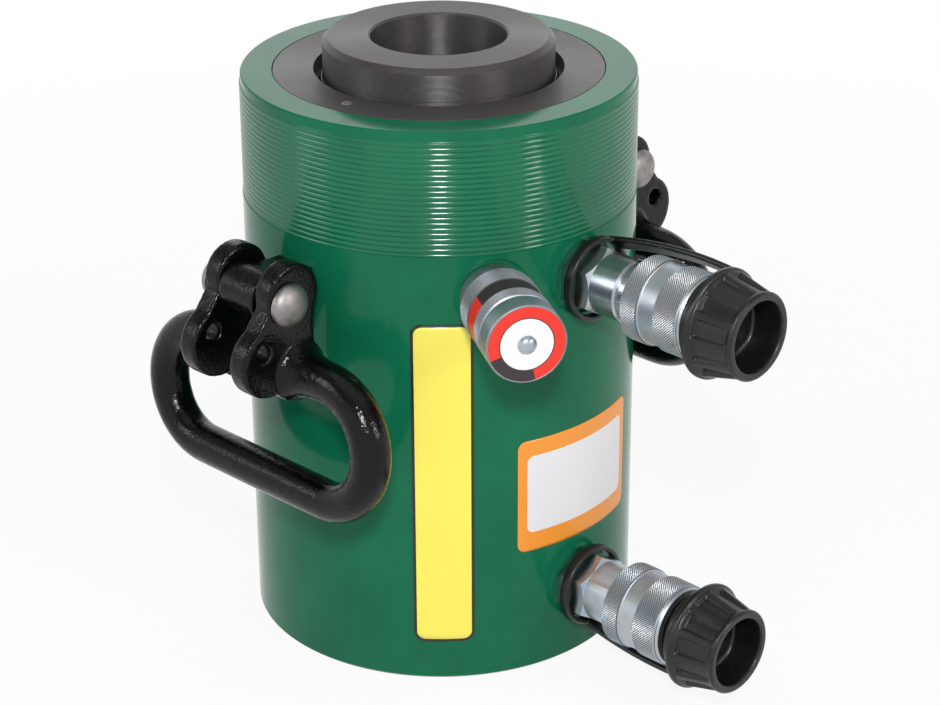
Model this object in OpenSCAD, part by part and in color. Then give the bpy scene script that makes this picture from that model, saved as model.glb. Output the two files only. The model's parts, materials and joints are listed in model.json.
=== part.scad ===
// Double-acting hollow plunger cylinder with collar thread, couplers, relief valve and lifting shackles.
// Millimetres, +Z up. The origin is the centre of the base, on the axis of the centre hole.
// The couplers point along +X, the shackles hang at -Y (left) and +Y (right).

/* [Barrel] */
// Wall of the barrel, from the cylinder bore outwards
barrel_wall = 17.375; // [15:0.125:23]
// Thickness of the closed base
base_t = 25; // [22:0.5:30]
// Chamfer round the foot
foot_chamfer = 1; // [0.4:0.1:2]
// Chamfer round the rim
rim_chamfer = 0.6; // [0.3:0.1:1.5]
// Circle of the two tapped holes in the base
base_hole_circle = 130; // [110:1:136]
// Diameter of the tapped holes in the base
base_hole_d = 13.5; // [10:0.5:16]
// Depth of the tapped holes in the base
base_hole_depth = 19; // [12:0.5:20]

/* [Collar thread] */
// How much smaller than the barrel the thread's crests are, across the diameter
thread_step = 0.55; // [0.2:0.05:1.5]
// Pitch of the thread
thread_pitch = 2.117; // [1.5:0.001:3]
// Depth of the thread
thread_depth = 1.2; // [0.6:0.1:1.8]
// Length of the threaded band
thread_len = 45; // [30:0.5:47]
// Height of the plain lead-in above the thread
thread_lead = 4.6; // [2:0.1:8]

/* [Plunger and saddle] */
// Travel of the plunger
stroke = 76.2; // [60:0.1:80]
// Wall of the plunger, which the saddle also ends with
plunger_wall = 10.5; // [8.6:0.05:11.5]
// Wall of the piston, from the plunger out to the cylinder bore
piston_wall = 16; // [14.5:0.1:17]
// Height of the piston on the foot of the plunger
piston_h = 70.7; // [64:0.1:74]
// How far the saddle stands above the rim
saddle_h = 13; // [9:0.1:20]
// Chamfer round the top of the saddle
saddle_chamfer = 2.2; // [1:0.1:4]
// Thread diameter of the saddle's spigot
spigot_d = 69.85; // [66:0.05:72]
// Length of the saddle's spigot
spigot_len = 19; // [12:0.5:22]

/* [Centre tube] */
// Diameter of the hole through the cylinder
hole_d = 54; // [50:0.5:56]
// Wall of the centre tube
tube_wall = 8.15; // [6.2:0.05:9]
// Diameter of the tube's flange in the base
tube_flange_d = 80; // [76:0.5:84]
// Thickness of the tube's flange
tube_flange_t = 9; // [6:0.5:12]

/* [Gland nut] */
// Step from the cylinder bore out to the gland nut's thread
gland_step = 4.07; // [2.5:0.01:6]
// Length of the gland nut, down from the rim
gland_len = 62; // [56:0.1:80]
// Length of the pilot below the gland nut's thread
gland_pilot = 12; // [8:0.5:16]
// Width of the open recess round the plunger at the top
wiper_recess_w = 3.7; // [2.6:0.1:5]
// Depth of that recess
wiper_recess_h = 9; // [7:0.5:11]

/* [Ports] */
// Height of the lower port above the bore's floor
lower_port_rise = 7; // [5:0.5:9]
// Distance of the upper port below the gland nut
upper_port_drop = 5; // [4.5:0.5:8]
// Diameter of the oil passage
passage_d = 8; // [5:0.5:9]
// Diameter of the flat seat cut into the barrel at each port
spot_d = 31; // [29:0.5:33]
// Thread diameter of the fittings' stems
stem_d = 17; // [14:0.5:18]
// Length of the stems in the barrel
stem_len = 9; // [7:0.5:11]

/* [Couplers] */
// Hexagon across flats
hex_af = 25; // [22:0.5:25.5]
// Length of the hexagon
hex_len = 13.9; // [10:0.1:18]
// Diameter of the smooth neck
neck_d = 25; // [22:0.5:25]
// Length of the smooth neck
neck_len = 12.4; // [8:0.1:16]
// Diameter of the knurled collar
collar_d = 34; // [32:0.2:36]
// Length of the rear knurled band
collar_band_len = 9; // [7:0.1:12]
// Length of the groove between the bands
collar_groove_len = 7.3; // [4:0.1:9]
// Length of the front knurled band with its chamfer
collar_front_len = 13.1; // [10:0.1:16]
// How far the upper collar stands forward on its body
upper_collar_slide = 5.8; // [3:0.1:7]
// Diameter of the collar's threaded socket
socket_d = 24.8; // [22.8:0.1:26.4]
// Diameter of the journal that the collar turns on
journal_d = 22; // [20:0.2:22]
// Travel of the check poppet
poppet_travel = 5; // [3:0.5:6]

/* [Dust caps] */
// Diameter of the cap's flange
cap_flange_d = 43.4; // [40:0.2:46]
// Length of the cap outside the collar
cap_len = 24.4; // [22:0.2:30]
// Diameter of the cap at its open end
cap_end_d = 34.6; // [32:0.2:36]
// Diameter of the skirt behind the flange
cap_skirt_d = 35; // [33:0.2:36]
// Length of the skirt behind the flange
cap_skirt_len = 4.2; // [3:0.1:6]
// How far the lower cap stands out of its collar
lower_cap_out = 3.3; // [0:0.1:5]
// Number of flutes round the cap
flute_count = 12; // [8:1:14]
// Depth of the flutes at the flange
flute_deep = 1.7; // [0.8:0.1:2]
// Depth of the flutes at the open end
flute_depth = 0.8; // [0.4:0.1:1.2]
// Width of the rubber strap
strap_w = 9; // [6:0.5:11]
// Thickness of the rubber strap
strap_t = 2.4; // [1.6:0.1:3]
// How far the upper strap lies behind the top of its coupler, in degrees
upper_strap_angle = 40; // [30:1:60]

/* [Relief valve] */
// Direction of the relief valve round the barrel, in degrees
relief_angle = -30.5; // [-34:0.5:-27]
// Diameter of the relief valve
relief_d = 31; // [29:0.2:32]
// Length of the relief valve outside the seat
relief_len = 46.5; // [42:0.1:54]
// Length of the plain front ring
relief_front_len = 8; // [5:0.5:10]
// Length of the front knurled band
relief_band_len = 6.7; // [4:0.1:8]
// Length of the smooth band behind it
relief_label_len = 6.8; // [4:0.1:8]
// Diameter of the screw head on its face
relief_screw_d = 7.4; // [6:0.2:8]

/* [Shackles] */
// Distance of the shackle pins from the cylinder's axis
pin_reach = 100.5; // [98:0.5:108]
// Distance of the shackle pins below the rim
pin_drop = 66.1; // [65.6:0.1:84]
// Diameter of the pins
pin_d = 12; // [10:0.5:13]
// Diameter of the pins' domed heads
pin_head_d = 17; // [15:0.5:19]
// Height of the domed heads
pin_head_h = 5.5; // [4:0.5:7]
// Width of the lug between the ears
lug_w = 19; // [14:0.5:22]
// Thickness of each ear
ear_t = 8.7; // [7:0.1:11]
// Diameter of the bow's rod
rod_d = 16; // [14:0.5:17]
// Width of the bow, from rod centre to rod centre
bow_w = 117.4; // [104:0.2:130]
// Height of the bow, from rod centre to rod centre
bow_h = 48.4; // [44:0.2:60]
// Drop of the bow's upper rod below the pin
bow_drop = 29.3; // [28:0.1:31]

/* [Clearances] */
// Radial clearance of sliding and turning fits
running_fit = 0.06; // [0.02:0.01:0.1]
// Radial clearance of screwed and pushed-in pieces
screw_fit = 0.05; // [0.02:0.01:0.08]
// Clearance between moving pieces that don't guide each other
free_gap = 0.35; // [0.3:0.05:0.5]
// Clearance left where a moving piece comes to rest on a flat
seat_gap = 0.1; // [0.05:0.05:0.2]

/* [Hidden] */
$fn = 96;
overrun = 20;
spigot_r = spigot_d/2;
rod_r = rod_d/2;

// walls from the centre hole outwards
hole_r = hole_d/2;
tube_r = hole_r + tube_wall;
plunger_bore_r = tube_r + free_gap;
plunger_r = plunger_bore_r + plunger_wall;
bore_r = plunger_r + piston_wall;
piston_r = bore_r - free_gap;
barrel_r = bore_r + barrel_wall;

// heights of the main stack
piston_z = base_t + seat_gap;
piston_top = piston_z + piston_h;
gland_z = piston_top + stroke + seat_gap;
gland_shoulder_z = gland_z + gland_pilot;
barrel_h = gland_z + gland_len;
plunger_top = barrel_h + 0.2;
saddle_top = barrel_h + saddle_h;
tube_top = plunger_top - spigot_len - 2;
lower_port_z = base_t + lower_port_rise;
upper_port_z = gland_z - upper_port_drop;

// collar thread
thread_r = barrel_r - thread_step/2;
thread_top = barrel_h - thread_lead;
thread_z = thread_top - thread_len;
lead_r = thread_r - 0.5;

// piston: relieved ends let the oil in at both limits of the travel
relief_r = piston_r - 5;
relief_h = 13;
piston_groove_r = piston_r - 4.5;
piston_bearing_z = piston_z + relief_h + 4;
piston_bearing_h = 14;
piston_seal_z = piston_bearing_z + piston_bearing_h + 5;
piston_seal_h = 9;
inner_groove_r = plunger_bore_r + 2.8;
inner_bearing_z = piston_z + 8;
inner_bearing_h = 14;
inner_seal_z = inner_bearing_z + inner_bearing_h + 5;
inner_seal_h = 8;

// gland nut
gland_r = bore_r + gland_step;
gland_bore_r = plunger_r + free_gap;
wiper_recess_r = plunger_r + wiper_recess_w;
wiper_recess_z = barrel_h - wiper_recess_h;
wiper_h = 5.5;
rod_seal_h = 8;
rod_seal_z = wiper_recess_z - 5 - rod_seal_h;
gland_groove_r = plunger_r + 4.2;
gland_bearing_h = 14;
gland_bearing_z = gland_z + 4;
seal_cord_d = 3.4;
seal_room = seal_cord_d/2 + 0.3;
gland_seal_z = gland_z + gland_pilot/2;
gland_seal_r = bore_r - 0.3 - seal_cord_d/2;

// fittings: heights along their own axis count from the flat seat on the barrel
spot_r = spot_d/2;
seat_r = sqrt(barrel_r*barrel_r - spot_r*spot_r);
stem_r = stem_d/2;
passage_r = passage_d/2;
neck_end = hex_len + neck_len;
collar_z = neck_end + free_gap;
lip_len = 4.8;
journal_end = collar_z + upper_collar_slide + lip_len + free_gap;
keeper_len = 2;
keeper_r = socket_d/2 - 0.45;
keeper_end = journal_end + keeper_len;
nose_end = keeper_end + 6.6;
nose_r = 10;
collar_len = collar_band_len + collar_groove_len + collar_front_len;
collar_end = collar_z + collar_len;
check_r = 6.5;
check_z = 8;
check_end = nose_end - 4.4;
check_hole_r = 4.7;
poppet_r = check_r - free_gap;
poppet_stem_r = check_hole_r - free_gap;
poppet_head_z = check_end - 5 - free_gap;
poppet_tail_r = 2.6;
spring_wire = 1.2;

// dust cap and strap
cap_z = collar_end + free_gap;
cap_flange_r = cap_flange_d/2;
cap_flange_z = cap_z + cap_skirt_len;
cap_flange_len = 3.2;
cap_flange_end = cap_flange_z + cap_flange_len;
cap_end = cap_z + cap_len;
cap_body_r = cap_flange_r - 1.2;
cap_end_r = cap_end_d/2;
plug_r = socket_d/2 - free_gap;
plug_z = nose_end + 0.8;
cup_r = cap_end_r - 3.4;
cup_depth = 13;
flute_z = cap_flange_end + 0.8;
flute_end = cap_end - 2.6;
rib_w = 2.2;
strap_ring_r = hex_af/2/cos(30) + free_gap;
strap_ring_t = 2.1;
strap_ring_z = 4.5;
strap_ring_len = 6;
strap_end = cap_flange_z - free_gap;
strap_end_r = cap_flange_r - 0.8 - strap_t/2;
strap_arch = 2.6;

// relief valve
relief_body_r = relief_d/2;
relief_front_z = relief_len - relief_front_len;
relief_band_z = relief_front_z - 2 - relief_band_len;
relief_label_z = relief_band_z - relief_label_len;
relief_seat_len = 12;
relief_seat_r = 9;
relief_chamber_r = 8;
relief_wall = 7;
relief_ball_r = 5;
relief_hole_r = 3;
relief_cone_r = relief_ball_r + 0.4;
relief_cone_h = 3;
relief_cone_tilt = atan2(relief_cone_r - relief_hole_r, relief_cone_h);
relief_cone_tip = relief_seat_len - relief_cone_r/tan(relief_cone_tilt);
relief_ball_z = relief_cone_tip + relief_ball_r/sin(relief_cone_tilt) + seat_gap;
relief_wire = 1.6;
relief_plate_t = 1;
relief_rim = 0.7;

// shackle, in the plane across its pin: first outwards from the pin, then up
pin_z = barrel_h - pin_drop;
ear_in = lug_w/2 + 0.5;
ear_out = ear_in + ear_t;
head_in = ear_out + free_gap;
ear_top = [-3.5, 2.5];
ear_top_r = 12.6;
ear_lobe = [8.5, -21.5];
ear_lobe_r = 14.4;
ear_hole = [12.3, -16.7];
ear_hole_d = 7;
bow_top = [-5.4, -bow_drop];
bow_lean = 4.3;
root_r = rod_r + 0.8;
bow_end_r = bow_h/2;
lug_nose_r = 10;
lug_root_low = 15;
lug_root_high = 6;
flare_r = rod_r + 3.2;
flare_len = 9;

paint_green = "#2a7152";
dark_steel = "#6e6a68";
zinc = "#b9c2c8";
rubber_black = "#1b1a1d";
forged_black = "#17161a";
seal_amber = "#c9a15a";
bronze = "#a57b43";
signal_red = "#e8402c";

// A turned piece: a profile of [radius, height] points swept once round
module turned(profile) {
    rotate_extrude() polygon(profile);
}

// A plain ring between two radii and two heights
module band(inner, outer, low, high) {
    turned([[inner, low], [outer, low], [outer, high], [inner, high]]);
}

// Places a fitting that was drawn along +Z on its flat seat on the barrel
module on_port(angle, height) {
    rotate([0, 0, angle]) translate([seat_r, 0, height]) rotate([0, 90, 0]) children();
}

// A coil of round wire between two flat ends, drawn along +Z
module coil(mean_r, wire, low, high, turns) {
    sides = 6;
    steps = 14;
    rings = turns*steps;
    rise = (high - low - wire)/rings;
    points = [
        for (i = [0:rings]) for (k = [0:sides - 1])
            let (turn = 360*i/steps, around = 360*k/sides, reach = mean_r + wire/2*cos(around))
            [reach*cos(turn), reach*sin(turn), low + wire/2 + rise*i + wire/2*sin(around)]
    ];
    walls = [
        for (i = [0:rings - 1]) for (k = [0:sides - 1])
            let (a = i*sides + k, b = i*sides + (k + 1)%sides)
            [a, a + sides, b + sides, b]
    ];
    first = [for (k = [0:sides - 1]) k];
    last = [for (k = [sides - 1:-1:0]) rings*sides + k];
    polyhedron(points, concat(walls, [first], [last]));
}

// The port cut into the barrel: flat seat, tapped hole and oil passage
module port_cut(angle, height) {
    on_port(angle, height) {
        cylinder(r = spot_r, h = overrun);
        translate([0, 0, -stem_len - 1]) cylinder(r = stem_r + screw_fit, h = stem_len + 1 + overrun);
        translate([0, 0, bore_r - seat_r - 5]) cylinder(r = passage_r, h = overrun);
    }
}

module barrel() {
    groove_count = floor(thread_len/thread_pitch);
    grooves = [
        for (i = [0:groove_count - 1]) let (mid = thread_z + (i + 0.5)*thread_pitch)
        for (corner = [[0, -0.4], [-thread_depth, -0.07], [-thread_depth, 0.07], [0, 0.4]])
            [thread_r + corner[0], mid + corner[1]*thread_pitch]
    ];
    outside = concat(
        [[barrel_r - foot_chamfer, 0], [barrel_r, foot_chamfer], [barrel_r, thread_z], [thread_r, thread_z]],
        grooves,
        [[thread_r, thread_top], [lead_r, thread_top + 0.5], [lead_r, barrel_h - rim_chamfer],
         [lead_r - rim_chamfer, barrel_h]]
    );
    inside = [
        [gland_r + screw_fit, barrel_h], [gland_r + screw_fit, gland_shoulder_z], [bore_r, gland_shoulder_z],
        [bore_r, base_t], [tube_r + screw_fit, base_t], [tube_r + screw_fit, tube_flange_t],
        [tube_flange_d/2 + screw_fit, tube_flange_t], [tube_flange_d/2 + screw_fit, 0]
    ];
    color(paint_green) difference() {
        turned(concat(outside, inside));
        port_cut(0, lower_port_z);
        port_cut(0, upper_port_z);
        port_cut(relief_angle, upper_port_z);
        for (side = [-1, 1])
            translate([0, side*base_hole_circle/2, -1]) cylinder(d = base_hole_d, h = base_hole_depth + 1);
    }
}

module center_tube() {
    groove_z = (tube_flange_t + base_t)/2;
    groove_r = tube_r - seal_cord_d;
    color(dark_steel) turned([
        [hole_r, 0], [tube_flange_d/2, 0], [tube_flange_d/2, tube_flange_t], [tube_r, tube_flange_t],
        [tube_r, groove_z - seal_room], [groove_r, groove_z - seal_room],
        [groove_r, groove_z + seal_room], [tube_r, groove_z + seal_room],
        [tube_r, tube_top - 1.5], [tube_r - 1.5, tube_top], [hole_r, tube_top]
    ]);
}

module tube_seal() {
    groove_z = (tube_flange_t + base_t)/2;
    ring_r = tube_r - seal_cord_d/2 + 0.02;
    color(rubber_black) rotate_extrude() translate([ring_r, groove_z]) circle(d = seal_cord_d);
}

module gland_nut() {
    pilot_r = bore_r - screw_fit;
    shoulder = gland_shoulder_z + 0.3;
    seal_floor_r = gland_seal_r - seal_cord_d/2 - 0.1;
    color(dark_steel) difference() {
        turned([
            [gland_bore_r, gland_z], [pilot_r - 1, gland_z], [pilot_r, gland_z + 1], [pilot_r, shoulder],
            [gland_r, shoulder], [gland_r, barrel_h - 0.5], [gland_r - 0.5, barrel_h],
            [wiper_recess_r, barrel_h], [wiper_recess_r, wiper_recess_z], [gland_bore_r, wiper_recess_z]
        ]);
        band(gland_bore_r - 1, gland_groove_r, rod_seal_z, rod_seal_z + rod_seal_h);
        band(gland_bore_r - 1, gland_groove_r, gland_bearing_z, gland_bearing_z + gland_bearing_h);
        band(seal_floor_r, pilot_r + 1, gland_seal_z - seal_room, gland_seal_z + seal_room);
    }
}

module gland_seal() {
    color(rubber_black) rotate_extrude() translate([gland_seal_r, gland_seal_z]) circle(d = seal_cord_d);
}

module gland_bearing() {
    color(bronze) band(
        plunger_r + running_fit, gland_groove_r - screw_fit,
        gland_bearing_z + 0.1, gland_bearing_z + gland_bearing_h - 0.1
    );
}

module rod_seal() {
    color(seal_amber) turned([
        [plunger_r + free_gap, rod_seal_z + 0.2], [gland_groove_r - 0.2, rod_seal_z + 0.2],
        [gland_groove_r - 0.2, rod_seal_z + rod_seal_h - 0.2],
        [(plunger_r + gland_groove_r)/2, rod_seal_z + rod_seal_h - 3],
        [plunger_r + free_gap, rod_seal_z + rod_seal_h - 0.2]
    ]);
}

module rod_wiper() {
    low = wiper_recess_z + 0.2;
    color(rubber_black) turned([
        [plunger_r + free_gap, low], [wiper_recess_r - 0.2, low], [wiper_recess_r - 0.2, low + wiper_h - 1.5],
        [plunger_r + 1.8, low + wiper_h - 1.5], [plunger_r + free_gap + 0.3, low + wiper_h],
        [plunger_r + free_gap, low + wiper_h]
    ]);
}

module plunger() {
    spigot_floor = plunger_top - spigot_len - 1;
    color(dark_steel) difference() {
        turned([
            [plunger_bore_r, piston_z], [plunger_r, piston_z], [plunger_r, plunger_top],
            [spigot_r + screw_fit, plunger_top], [spigot_r + screw_fit, spigot_floor],
            [plunger_bore_r, spigot_floor]
        ]);
        band(plunger_bore_r - 1, inner_groove_r, inner_bearing_z, inner_bearing_z + inner_bearing_h);
        band(plunger_bore_r - 1, inner_groove_r, inner_seal_z, inner_seal_z + inner_seal_h);
    }
}

module piston() {
    bore = plunger_r + screw_fit;
    color(dark_steel) difference() {
        turned([
            [bore, piston_z], [relief_r, piston_z], [relief_r, piston_z + relief_h - 3],
            [piston_r, piston_z + relief_h], [piston_r, piston_top - relief_h],
            [relief_r, piston_top - relief_h + 3], [relief_r, piston_top], [bore, piston_top]
        ]);
        band(piston_groove_r, piston_r + 1, piston_bearing_z, piston_bearing_z + piston_bearing_h);
        band(piston_groove_r, piston_r + 1, piston_seal_z, piston_seal_z + piston_seal_h);
    }
}

module piston_bearing() {
    color(bronze) band(
        piston_groove_r + screw_fit, bore_r - running_fit,
        piston_bearing_z + 0.1, piston_bearing_z + piston_bearing_h - 0.1
    );
}

module piston_seal() {
    high = piston_seal_z + piston_seal_h - 0.2;
    color(seal_amber) turned([
        [piston_groove_r + 0.2, piston_seal_z + 0.2], [bore_r - free_gap, piston_seal_z + 0.2],
        [bore_r - free_gap, high], [bore_r - free_gap - 2, high - 2.5], [piston_groove_r + 0.2, high]
    ]);
}

module inner_bearing() {
    color(bronze) band(
        tube_r + running_fit, inner_groove_r - screw_fit,
        inner_bearing_z + 0.1, inner_bearing_z + inner_bearing_h - 0.1
    );
}

module inner_seal() {
    high = inner_seal_z + inner_seal_h - 0.2;
    color(seal_amber) turned([
        [tube_r + free_gap, inner_seal_z + 0.2], [inner_groove_r - 0.2, inner_seal_z + 0.2],
        [inner_groove_r - 0.2, high], [tube_r + free_gap + 1.5, high - 2], [tube_r + free_gap, high]
    ]);
}

module saddle() {
    spigot_low = plunger_top - spigot_len;
    shoulder = plunger_top + screw_fit;
    color(dark_steel) turned([
        [hole_r, spigot_low], [spigot_r - 1, spigot_low], [spigot_r, spigot_low + 1],
        [spigot_r, shoulder], [plunger_r, shoulder], [plunger_r, saddle_top - saddle_chamfer],
        [plunger_r - saddle_chamfer, saddle_top], [hole_r + 0.8, saddle_top], [hole_r, saddle_top - 0.8]
    ]);
}

// Hexagon, neck, journal, keeper ring and nose of a coupler, bored for its check poppet
module coupler_body() {
    hex_r = hex_af/2/cos(30);
    color(zinc) difference() {
        union() {
            intersection() {
                cylinder(r = hex_r, h = hex_len, $fn = 6);
                turned([
                    [0, 0], [hex_r - 1, 0], [hex_r, 1],
                    [hex_r, hex_len - 1.6], [hex_af/2, hex_len], [0, hex_len]
                ]);
            }
            turned([
                [0, -stem_len], [stem_r - 1, -stem_len], [stem_r, -stem_len + 1], [stem_r, 1],
                [neck_d/2, hex_len - 1], [neck_d/2, neck_end - 0.8], [neck_d/2 - 0.8, neck_end],
                [journal_d/2, neck_end], [journal_d/2, journal_end], [keeper_r, journal_end],
                [keeper_r, keeper_end], [nose_r, keeper_end], [nose_r, nose_end - 1],
                [nose_r - 1, nose_end], [0, nose_end]
            ]);
        }
        turned([
            [0, -stem_len - 1], [passage_r, -stem_len - 1], [passage_r, check_z], [check_r, check_z],
            [check_r, check_end], [check_hole_r, check_end + 2],
            [check_hole_r, nose_end + 1], [0, nose_end + 1]
        ]);
    }
}

module coupler_collar() {
    outer = collar_d/2;
    groove_low = collar_z + collar_band_len;
    groove_high = groove_low + collar_groove_len;
    lip_r = journal_d/2 + running_fit;
    socket_r = socket_d/2;
    color(zinc) turned([
        [lip_r, collar_z], [outer - 1.4, collar_z], [outer, collar_z + 1],
        [outer, groove_low - 0.5], [outer - 0.9, groove_low], [outer - 0.9, groove_high],
        [outer, groove_high + 0.5], [outer, collar_end - 1.6], [outer - 1.2, collar_end],
        [socket_r + 0.7, collar_end], [socket_r, collar_end - 0.7], [socket_r, collar_z + lip_len],
        [lip_r, collar_z + lip_len]
    ]);
}

module coupler_poppet() {
    cone = check_end + 2 - free_gap;
    tail_z = check_z + poppet_travel + 6;
    color(zinc) turned([
        [0, tail_z], [poppet_tail_r, tail_z], [poppet_tail_r, poppet_head_z], [poppet_r, poppet_head_z],
        [poppet_r, check_end - free_gap], [poppet_stem_r, cone],
        [poppet_stem_r, nose_end - 1], [0, nose_end - 0.4]
    ]);
}

module coupler_spring() {
    mean_r = (poppet_tail_r + check_r)/2;
    color(dark_steel) coil(mean_r, spring_wire, check_z + free_gap, poppet_head_z - free_gap, 6);
}

// Moulded rubber cap: plug, skirt, flange, fluted taper and an open cup at the end
module dust_cap() {
    skirt_r = cap_skirt_d/2;
    slope = (cap_body_r - cap_end_r)/(cap_end - cap_flange_end);
    floor_low = cap_body_r - slope*(flute_z - cap_flange_end) - flute_deep;
    floor_high = cap_body_r - slope*(flute_end - cap_flange_end) - flute_depth;
    tilt = atan((floor_low - floor_high)/(flute_end - flute_z));
    flute_w = 2*cap_end_r*sin(180/flute_count) - rib_w;
    color(rubber_black) difference() {
        turned([
            [0, plug_z], [plug_r - 1.5, plug_z], [plug_r, plug_z + 1.5], [plug_r, cap_z],
            [skirt_r - 0.8, cap_z], [skirt_r, cap_z + 0.8], [skirt_r, cap_flange_z],
            [cap_flange_r - 0.8, cap_flange_z], [cap_flange_r, cap_flange_z + 0.8],
            [cap_flange_r, cap_flange_end - 0.8], [cap_body_r, cap_flange_end],
            [cap_end_r, cap_end - 1], [cap_end_r - 1, cap_end],
            [cup_r, cap_end], [cup_r - 1.2, cap_end - cup_depth], [0, cap_end - cup_depth]
        ]);
        for (i = [0:flute_count - 1])
            rotate([0, 0, 360*(i + 0.5)/flute_count])
                translate([floor_low, -flute_w/2, flute_z]) rotate([0, -tilt, 0])
                cube([overrun, flute_w, (flute_end - flute_z)/cos(tilt)]);
    }
}

// Ring round the hexagon and the flat strap that arches to the cap, drawn with the strap towards -X
module cap_strap(cap_out) {
    foot = strap_ring_z + strap_ring_len;
    ring_out = strap_ring_r + strap_ring_t;
    start_z = foot - 2;
    start_r = ring_out - 1;
    route = [
        for (i = [0:12]) let (t = i/12)
        [start_z + (strap_end + cap_out - start_z)*t,
            start_r + (strap_end_r - start_r)*t + strap_arch*4*t*(1 - t)]
    ];
    under = [for (p = route) [p[0], p[1] - strap_t/2]];
    over = [for (i = [12:-1:0]) [route[i][0], route[i][1] + strap_t/2]];
    color(rubber_black) union() {
        band(strap_ring_r, ring_out, strap_ring_z, foot);
        rotate([0, -90, 90]) translate([0, 0, -strap_w/2])
            linear_extrude(strap_w) polygon(concat(under, over));
    }
}

module upper_coupler_body() { on_port(0, upper_port_z) coupler_body(); }
module upper_coupler_collar() {
    on_port(0, upper_port_z) translate([0, 0, upper_collar_slide]) coupler_collar();
}
module upper_coupler_poppet() { on_port(0, upper_port_z) coupler_poppet(); }
module upper_coupler_spring() { on_port(0, upper_port_z) coupler_spring(); }
module upper_dust_cap() {
    on_port(0, upper_port_z) translate([0, 0, upper_collar_slide]) dust_cap();
}
module upper_cap_strap() {
    on_port(0, upper_port_z) rotate([0, 0, -upper_strap_angle]) cap_strap(upper_collar_slide);
}
module lower_coupler_body() { on_port(0, lower_port_z) coupler_body(); }
module lower_coupler_collar() { on_port(0, lower_port_z) coupler_collar(); }
module lower_coupler_poppet() { on_port(0, lower_port_z) coupler_poppet(); }
module lower_coupler_spring() { on_port(0, lower_port_z) coupler_spring(); }
module lower_dust_cap() { on_port(0, lower_port_z) translate([0, 0, lower_cap_out]) dust_cap(); }
module lower_cap_strap() { on_port(0, lower_port_z) rotate([0, 0, 180]) cap_strap(lower_cap_out); }

// Sleeve of the relief valve: knurled bands, smooth band, plain front ring and the spring chamber
module relief_body() {
    outer = relief_body_r;
    low = free_gap;
    plate_z = relief_len - relief_plate_t;
    chamber_z = relief_len - relief_wall;
    seat_top = relief_seat_len + free_gap;
    color(zinc) on_port(relief_angle, upper_port_z) turned([
        [relief_seat_r + screw_fit, low], [outer - 1, low], [outer, low + 1], [outer, relief_label_z - 0.4],
        [outer - 0.4, relief_label_z], [outer - 0.4, relief_band_z], [outer, relief_band_z + 0.4],
        [outer, relief_front_z - 2], [outer - 1.1, relief_front_z - 1.5], [outer - 1.1, relief_front_z - 0.6],
        [outer, relief_front_z], [outer, relief_len - relief_rim/2], [outer - relief_rim/2, relief_len],
        [outer - relief_rim, relief_len], [outer - relief_rim, plate_z], [relief_screw_d/2 - 1, plate_z],
        [relief_screw_d/2 - 1, chamber_z], [relief_chamber_r, chamber_z],
        [relief_chamber_r, seat_top], [relief_seat_r + screw_fit, seat_top]
    ]);
}

module relief_seat() {
    color(zinc) on_port(relief_angle, upper_port_z) turned([
        [relief_hole_r, -stem_len], [stem_r - 1, -stem_len], [stem_r, -stem_len + 1], [stem_r, 0],
        [relief_seat_r, 0], [relief_seat_r, relief_seat_len], [relief_cone_r, relief_seat_len],
        [relief_hole_r, relief_seat_len - relief_cone_h]
    ]);
}

module relief_ball() {
    color(zinc) on_port(relief_angle, upper_port_z)
        translate([0, 0, relief_ball_z]) sphere(r = relief_ball_r);
}

module relief_spring() {
    mean_r = relief_ball_r;
    touch = relief_ball_r + relief_wire/2 + seat_gap;
    low = relief_ball_z + sqrt(touch*touch - mean_r*mean_r) - relief_wire/2;
    high = relief_len - relief_wall - free_gap;
    color(dark_steel) on_port(relief_angle, upper_port_z) coil(mean_r, relief_wire, low, high, 5);
}

module relief_plate() {
    color("white") on_port(relief_angle, upper_port_z) band(
        relief_screw_d/2 - 1, relief_body_r - relief_rim - screw_fit,
        relief_len - relief_plate_t + screw_fit, relief_len
    );
}

module relief_screw() {
    head_r = relief_screw_d/2;
    shank_r = head_r - 1 - screw_fit;
    shank_z = relief_len - relief_wall;
    color(zinc) on_port(relief_angle, upper_port_z) turned([
        [0, shank_z], [shank_r, shank_z], [shank_r, relief_len + screw_fit], [head_r, relief_len + screw_fit],
        [head_r, relief_len + 1], [head_r - 1.2, relief_len + 2.2], [0, relief_len + 2.4]
    ]);
}

// Extrudes a profile of [outwards from the pin, up] points along the pin's axis
module across_pin(from, to) {
    translate([0, -pin_reach, pin_z]) rotate([90, 0, -90])
        translate([0, 0, from]) linear_extrude(to - from) children();
}

module lug() {
    reach = pin_reach - barrel_r;
    color(forged_black) difference() {
        across_pin(-lug_w/2, lug_w/2) difference() {
            union() {
                circle(r = lug_nose_r);
                polygon([
                    [-reach - 2, -lug_root_low], [-reach + 4, -lug_root_low], [0, -lug_nose_r],
                    [0, lug_nose_r], [-reach + 4, lug_root_high], [-reach - 2, lug_root_high]
                ]);
            }
            circle(r = pin_d/2 + screw_fit);
        }
        cylinder(r = barrel_r, h = barrel_h);
    }
}

module pin() {
    head_r = pin_head_d/2;
    color(zinc) translate([0, -pin_reach, pin_z]) rotate([0, 90, 0]) {
        cylinder(d = pin_d, h = 2*head_in, center = true);
        for (end = [0, 180]) rotate([end, 0, 0]) translate([0, 0, head_in]) turned(concat(
            [[0, 0], [head_r, 0]],
            [for (a = [6:6:90]) [head_r*cos(a), 0.8 + (pin_head_h - 0.8)*sin(a)]]
        ));
    }
}

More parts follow.
